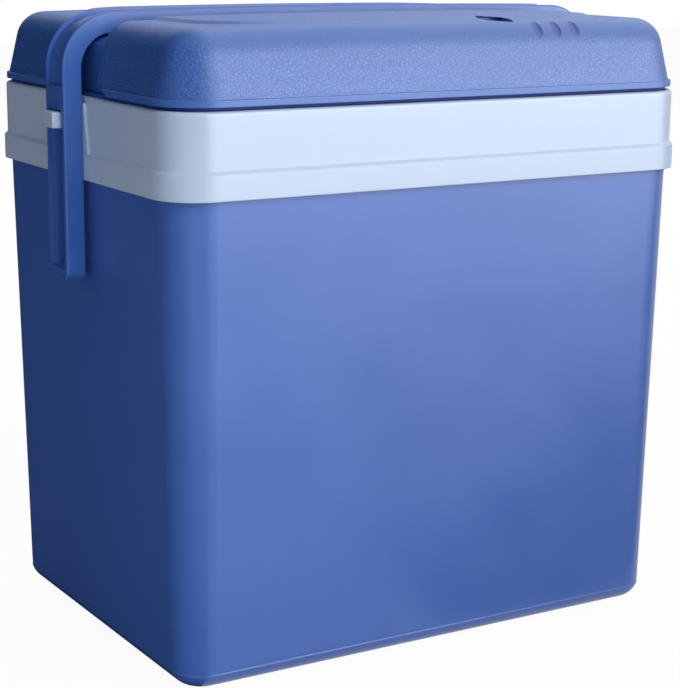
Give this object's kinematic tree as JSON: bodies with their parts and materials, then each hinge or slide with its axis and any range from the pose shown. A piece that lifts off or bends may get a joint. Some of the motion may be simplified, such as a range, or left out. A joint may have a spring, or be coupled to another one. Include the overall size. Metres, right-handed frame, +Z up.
{
  "type": "vaccine carrier",
  "caption": "Tapered insulated box with a lift-off lid, ice packs lining its walls, and a bail handle that slides up on side pegs and locks the lid when lowered.",
  "frame": {"origin": "centre of the base, on the surface that the carrier stands on", "axes": "+X along the long side, to the right seen from the front; -Y towards the front; +Z up"},
  "size_m": [0.4118, 0.2804, 0.4028],
  "materials": {
    "body_polypropylene": "moulded polypropylene, fine satin grain",
    "collar_polypropylene": "pale moulded polypropylene, smooth",
    "handle_polypropylene": "blue moulded polypropylene, smooth",
    "lid_polypropylene": "moulded polypropylene, leather grain",
    "liner_polypropylene": "white moulded polypropylene, smooth",
    "rigid_foam": "rigid closed-cell foam",
    "seal_rubber": "soft closed-cell rubber",
    "ice_pack_polyethylene": "blow-moulded polyethylene filled with water",
    "cap_polypropylene": "moulded polypropylene, fluted"
  },
  "bodies": {
    "box": {"outer_body": "body_polypropylene", "body_insulation": "rigid_foam", "inner_liner": "liner_polypropylene", "collar": "collar_polypropylene", "handle_peg_left": "collar_polypropylene", "handle_peg_right": "collar_polypropylene", "ice_pack_front_left": "ice_pack_polyethylene", "ice_pack_cap_front_left": "cap_polypropylene", "ice_pack_front_right": "ice_pack_polyethylene", "ice_pack_cap_front_right": "cap_polypropylene", "ice_pack_rear_left": "ice_pack_polyethylene", "ice_pack_cap_rear_left": "cap_polypropylene", "ice_pack_rear_right": "ice_pack_polyethylene", "ice_pack_cap_rear_right": "cap_polypropylene", "ice_pack_left": "ice_pack_polyethylene", "ice_pack_cap_left": "cap_polypropylene", "ice_pack_right": "ice_pack_polyethylene", "ice_pack_cap_right": "cap_polypropylene"},
    "handle": {"handle": "handle_polypropylene"},
    "lid": {"lid_shell": "lid_polypropylene", "lid_inner_panel": "liner_polypropylene", "lid_insulation": "rigid_foam", "lid_seal": "seal_rubber"}
  },
  "joints": [
    {"name": "handle_lift", "type": "slide", "parent": "box", "child": "handle", "axis": [0, 0, 1], "range_m": [0, 0.085]},
    {"name": "lid_lift", "type": "slide", "parent": "box", "child": "lid", "axis": [0, 0, 1], "range_m": [0, 0.068]}
  ],
  "couplings": [
    {"joint": "lid_lift", "follows": "handle_lift", "ratio": 0.8}
  ]
}
